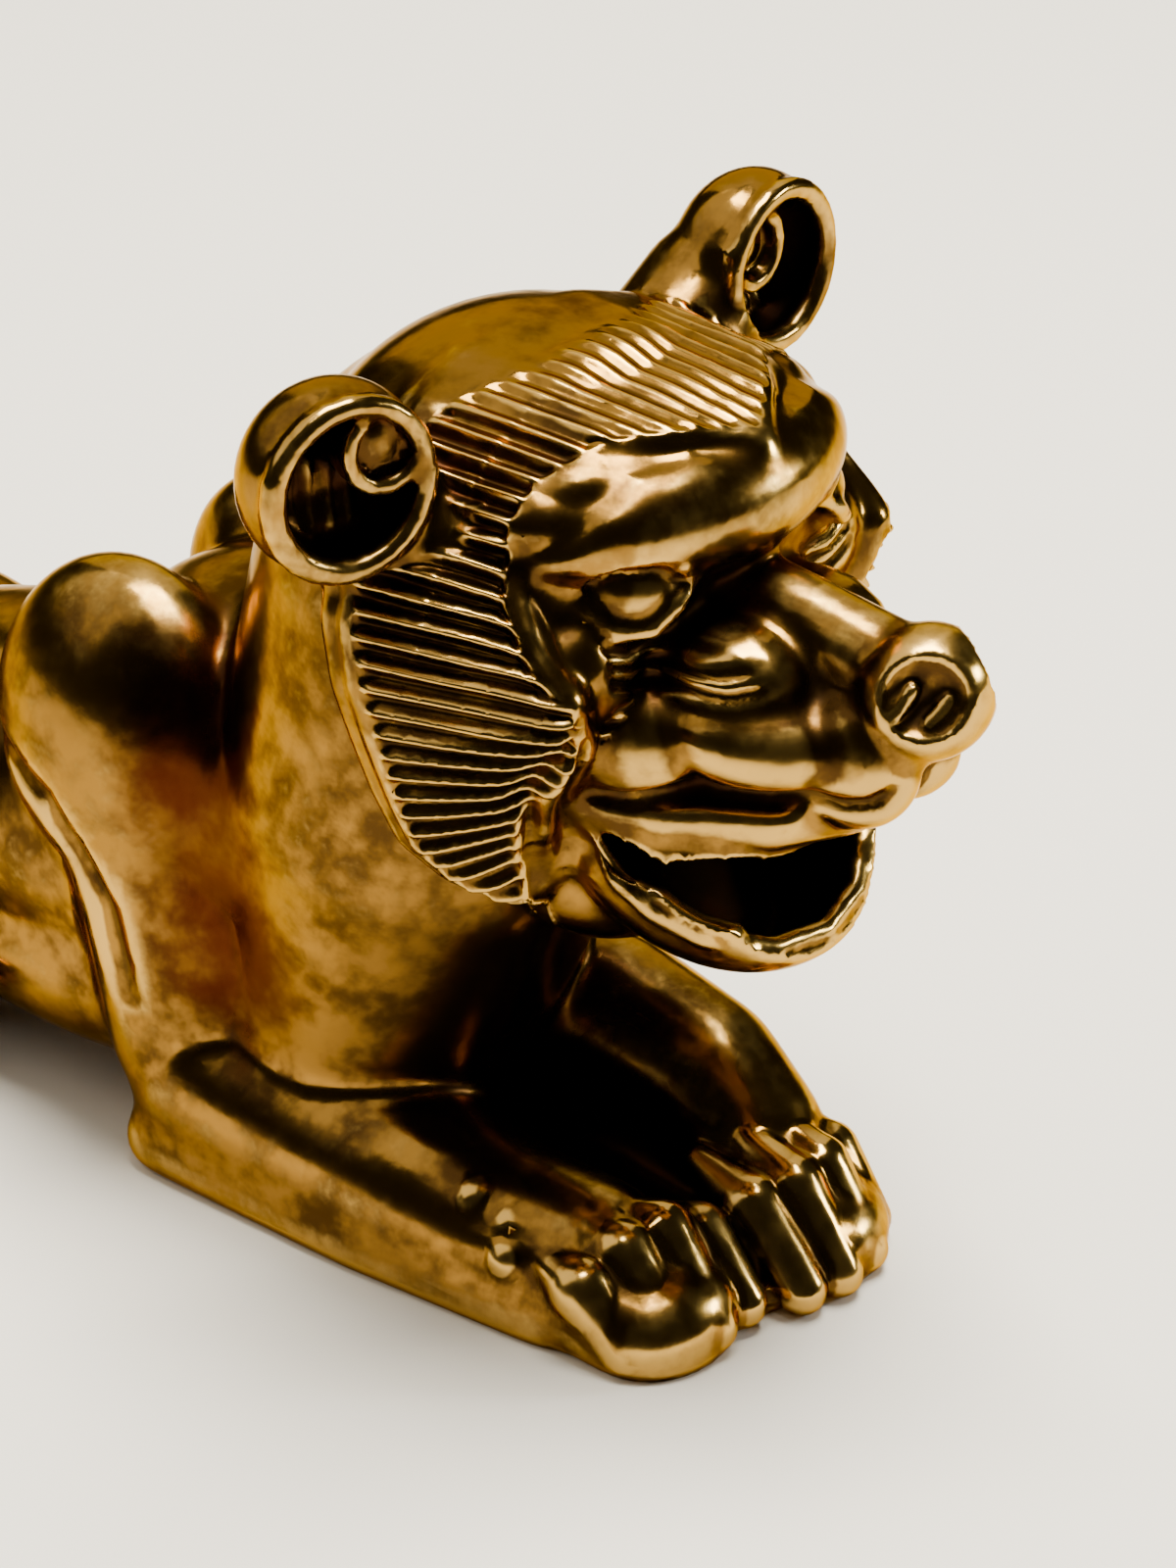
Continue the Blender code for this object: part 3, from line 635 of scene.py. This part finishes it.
def readNeckReflection(lion):      # how near each point is to the crease where the neck meets the shoulder, for a painted dark red reflection
    at = np.array([v.co for v in lion.data.vertices])
    at[:, 0] = np.abs(at[:, 0])
    nearest = np.full(len(at), np.inf)
    line = np.array(neckReflection["line"])
    for a, b in zip(line, line[1:]):
        along = np.clip((at - a) @ (b - a) / ((b - a) @ (b - a)), 0, 1)
        nearest = np.minimum(nearest, np.linalg.norm(at - a - along[:, None] * (b - a), axis=1))
    keepReading(lion.data, "neckReflection", np.exp(-(nearest / neckReflection["reach"]) ** 2))


def thin(lion):      # plain forms first, then the detail with them
    plain = lion.vertex_groups["plain"].index
    detailed = sum(1 for v in lion.data.vertices if all(g.group != plain for g in v.groups))
    for target, group in ((2 * detailed + casting["plainTriangles"], "plain"), (casting["triangles"], "")):
        faces = sum(len(face.vertices) - 2 for face in lion.data.polygons)
        decimate = lion.modifiers.new("thin", "DECIMATE")
        decimate.ratio = min(1.0, target / faces)
        decimate.vertex_group = group
        bake(lion)


def seat(lion):      # into the frame's box, standing on its floor
    corners = np.array([v.co for v in lion.data.vertices])
    low, high = corners.min(axis=0), corners.max(axis=0)
    boxLow, boxHigh = (np.array(c) for c in cadBox)
    size = min(drafting["unit"], *((boxHigh - boxLow) / (high - low)))
    middle = Vector(((low[0] + high[0]) / 2, (low[1] + high[1]) / 2, low[2]))
    boxMiddle = Vector(((boxLow[0] + boxHigh[0]) / 2, (boxLow[1] + boxHigh[1]) / 2, boxLow[2]))
    lion.data.transform(Matrix.Translation(boxMiddle) @ Matrix.Scale(size, 4) @ Matrix.Translation(-middle))
    return size


def castLion():
    lion = fuse(bodyClay().cast("lionCasting"), casting["bodySoftness"])
    print("body fused")
    join(lion, fuse(skullClay().cast("skull"), casting["headSoftness"]))
    fuse(lion, casting["detailSoftness"])
    print("head joined")
    cut(lion, fuse(hollowClay().cast("hollows"), casting["detailSoftness"]))
    join(lion, featureClay().cast("features"))
    fuse(lion, casting["detailSoftness"])
    print("features joined,", len(lion.data.vertices), "points")
    refine(lion)
    carve(lion)
    stand(lion)
    readRecesses(lion)
    thin(lion)
    readShelter(lion)
    readNeckReflection(lion)
    size = seat(lion)
    lion.data.shade_smooth()
    print("lion carved at size", round(size, 7), "with", len(lion.data.polygons), "faces")
    return lion


lion = castLion()
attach(lion, "root")
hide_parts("lion")


# Shader sums are written as expressions.

class Sum:
    def __init__(self, tree, socket):
        self.tree = tree
        self.socket = socket

    def join(self, operation, other, swap=False, clamp=False):
        values = [self, other][::-1] if swap else [self, other]
        node = self.tree.nodes.new("ShaderNodeMath")
        node.operation = operation
        node.use_clamp = clamp
        for socket, value in zip(node.inputs, values):
            if isinstance(value, Sum):
                self.tree.links.new(value.socket, socket)
            else:
                socket.default_value = value
        return Sum(self.tree, node.outputs[0])

    def __add__(self, other):
        return self.join("ADD", other)

    __radd__ = __add__

    def __sub__(self, other):
        return self.join("SUBTRACT", other)

    def __rsub__(self, other):
        return self.join("SUBTRACT", other, swap=True)

    def __mul__(self, other):
        return self.join("MULTIPLY", other)

    __rmul__ = __mul__

    def clamped(self):
        return self.join("ADD", 0.0, clamp=True)

    def most(self, other):
        return self.join("MAXIMUM", other)


class Finish:
    def __init__(self, name):
        self.material = bpy.data.materials.new(name)
        self.material.use_nodes = True
        self.tree = self.material.node_tree
        self.shader = self.tree.nodes["Principled BSDF"]

    def node(self, kind, settings=None, sockets=None, stops=None):
        node = self.tree.nodes.new(kind)
        for key, value in (settings or {}).items():
            setattr(node, key, value)
        if stops:
            elements = node.color_ramp.elements
            while len(elements) < len(stops):
                elements.new(0.5)
            for element, (position, colour) in zip(elements, stops):
                element.position = position
                element.color = (*colour, 1.0)
        for key, value in (sockets or {}).items():
            self.feed(node.inputs[key], value)
        return node

    def feed(self, socket, value):
        if isinstance(value, Sum):
            self.tree.links.new(value.socket, socket)
        elif isinstance(value, bpy.types.NodeSocket):
            self.tree.links.new(value, socket)
        else:
            socket.default_value = value

    def sum(self, socket):
        return Sum(self.tree, socket)

    def mix(self, share, a, b):
        node = self.node("ShaderNodeMix", {"data_type": "RGBA"})
        self.feed(node.inputs[0], share)
        self.feed(node.inputs[6], a)
        self.feed(node.inputs[7], b)
        return node.outputs[2]

    def between(self, value, low, high):      # 0 at low, 1 at high
        node = self.node("ShaderNodeMapRange", {"interpolation_type": "SMOOTHSTEP"},
                         {"Value": value, "From Min": low, "From Max": high})
        return self.sum(node.outputs[0])


gold = {
    # bright polished gold, partly a painted highlight
    "rubbedAndHighlight": (0.60, 0.36, 0.08),
    "bright": (0.25, 0.126, 0.02),
    # duller gold, also used for painted shade
    "wornAndShaded": (0.055, 0.026, 0.006),
    "edge": (0.85, 0.6, 0.3),
    # painted red-brown shade and reflection
    "redBrown": (0.045, 0.008, 0.002),
    # soot, and painted shade
    "dark": (0.012, 0.006, 0.003),
    "smooth": 0.14,
    "dull": 0.42,
    "stains": 420.0,       # patches to a metre
    "grain": 1700.0,
    "waves": 560.0,
    "bumpStrength": 0.35,
    "bumpDepth": 0.0001,
}


def giltBrass():
    finish = Finish("giltBrass")
    place = finish.node("ShaderNodeTexCoord").outputs["Object"]

    def reading(name):
        return finish.sum(finish.node("ShaderNodeAttribute", {"attribute_name": name}).outputs["Fac"])

    def cloud(scale, detail, roughness):
        return finish.sum(finish.node("ShaderNodeTexNoise", None, {
            "Vector": place, "Scale": scale, "Detail": detail, "Roughness": roughness}).outputs["Fac"])

    fine, broad, shelter = reading("fineRecess"), reading("broadRecess"), reading("shelter")
    stains = cloud(gold["stains"], 4.0, 0.6)
    grain = cloud(gold["grain"], 3.0, 0.6)
    waves = cloud(gold["waves"], 2.0, 0.5)
    # soot in the fine grooves, and painted shade where the lion keeps the light off itself
    grime = finish.between(fine + 0.3 * (grain - 0.5), 0.58, 0.88)
    # bright polished metal on raised parts, partly a painted highlight
    rubAndHighlight = finish.between(0.5 - fine + 0.2 * (grain - 0.5), 0.03, 0.2)
    shadeShare = finish.between(shelter + 0.3 * (stains - 0.5), 0.4, 0.8)
    # painted red-brown shade in sheltered hollows, and a painted dark red reflection in the crease where the
    # neck meets the shoulder
    redShadeAndReflection = finish.between(shelter + 0.25 * (broad - 0.5) + 0.35 * (stains - 0.5), 0.3, 0.7)
    redShadeAndReflection = (redShadeAndReflection * 0.75).most(finish.between(reading("neckReflection") + 0.9 * (stains - 0.5), 0.25, 0.95) * 0.95)
    # patches of duller gold, painted darker still where the lion keeps the light off itself
    wearAndShade = finish.between(stains + 0.3 * (grain - 0.5) + 0.35 * (shelter - 0.25), 0.27, 0.6)
    colour = finish.mix(wearAndShade, (*gold["bright"], 1), (*gold["wornAndShaded"], 1))
    colour = finish.mix(rubAndHighlight * 0.8, colour, (*gold["rubbedAndHighlight"], 1))
    colour = finish.mix(redShadeAndReflection, colour, (*gold["redBrown"], 1))
    # soot in the grooves and painted shade both darken towards the dark colour
    colour = finish.mix((grime * 0.7).most(shadeShare * 0.96), colour, (*gold["dark"], 1))
    finish.feed(finish.shader.inputs["Base Color"], colour)
    finish.shader.inputs["Metallic"].default_value = 1.0
    finish.shader.inputs["Specular Tint"].default_value = (*gold["edge"], 1)
    dulled = (0.4 * wearAndShade + 0.5 * grime + 0.7 * shadeShare).clamped()
    rough = gold["smooth"] + (gold["dull"] - gold["smooth"]) * dulled
    finish.feed(finish.shader.inputs["Roughness"], rough)
    bump = finish.node("ShaderNodeBump", None, {
        "Strength": gold["bumpStrength"], "Distance": gold["bumpDepth"], "Height": waves + 0.12 * grain})
    finish.feed(finish.shader.inputs["Normal"], bump.outputs["Normal"])
    return finish.material


lion.data.materials.clear()
lion.data.materials.append(giltBrass())
print("gilding done")


studio = {
    "floorSize": 1.2,
    "floorColour": (0.84, 0.79, 0.68),
    "floorRoughness": 0.9,
    "air": (0.03, 0.03, 0.03),
    "aim": (0, 0, 0.012),      # where the lamps point
    # place, size, power, colour
    "lamps": [((0.03, -0.015, 0.27), 0.14, 2.5, (1.0, 0.97, 0.91)),
              ((0.19, -0.19, 0.09), 0.05, 0.4, (0.86, 0.93, 1.0)),
              ((0.28, 0.21, 0.26), 0.4, 0.6, (1.0, 0.93, 0.8)),
              ((-0.14, 0.26, 0.36), 0.5, 1.3, (1.0, 0.95, 0.86))],
}


def paleFloor():
    bm = bmesh.new()
    bmesh.ops.create_grid(bm, x_segments=1, y_segments=1, size=studio["floorSize"] / 2)
    mesh = bpy.data.meshes.new("floor")
    bm.to_mesh(mesh)
    bm.free()
    floor = bpy.data.objects.new("floor", mesh)
    bpy.context.scene.collection.objects.link(floor)
    finish = Finish("paleFloor")
    finish.shader.inputs["Base Color"].default_value = (*studio["floorColour"], 1)
    finish.shader.inputs["Roughness"].default_value = studio["floorRoughness"]
    floor.data.materials.append(finish.material)


def studioLight():
    world = bpy.data.worlds.new("studio")
    bpy.context.scene.world = world
    world.use_nodes = True
    world.node_tree.nodes["Background"].inputs["Color"].default_value = (*studio["air"], 1)
    for i, (place, size, power, colour) in enumerate(studio["lamps"]):
        data = bpy.data.lights.new(f"lamp{i}", "AREA")
        data.energy = power
        data.size = size
        data.color = colour
        lamp = bpy.data.objects.new(f"lamp{i}", data)
        bpy.context.scene.collection.objects.link(lamp)
        lamp.location = place
        lamp.rotation_euler = (Vector(place) - Vector(studio["aim"])).to_track_quat("Z", "Y").to_euler()


view = {
    "place": (-0.07677, -0.06948, 0.06524),
    "azimuth": -53.0,
    "elevation": 28.5,
    "lens": 101.25,
}


def photoCamera():
    data = bpy.data.cameras.new("camera")
    data.lens = view["lens"]
    data.clip_start = 0.001
    camera = bpy.data.objects.new("camera", data)
    bpy.context.scene.collection.objects.link(camera)
    camera.location = view["place"]
    camera.rotation_euler = (math.radians(90 - view["elevation"]), 0, math.radians(view["azimuth"]))
    bpy.context.scene.camera = camera


paleFloor()
studioLight()
photoCamera()
print("studio set")
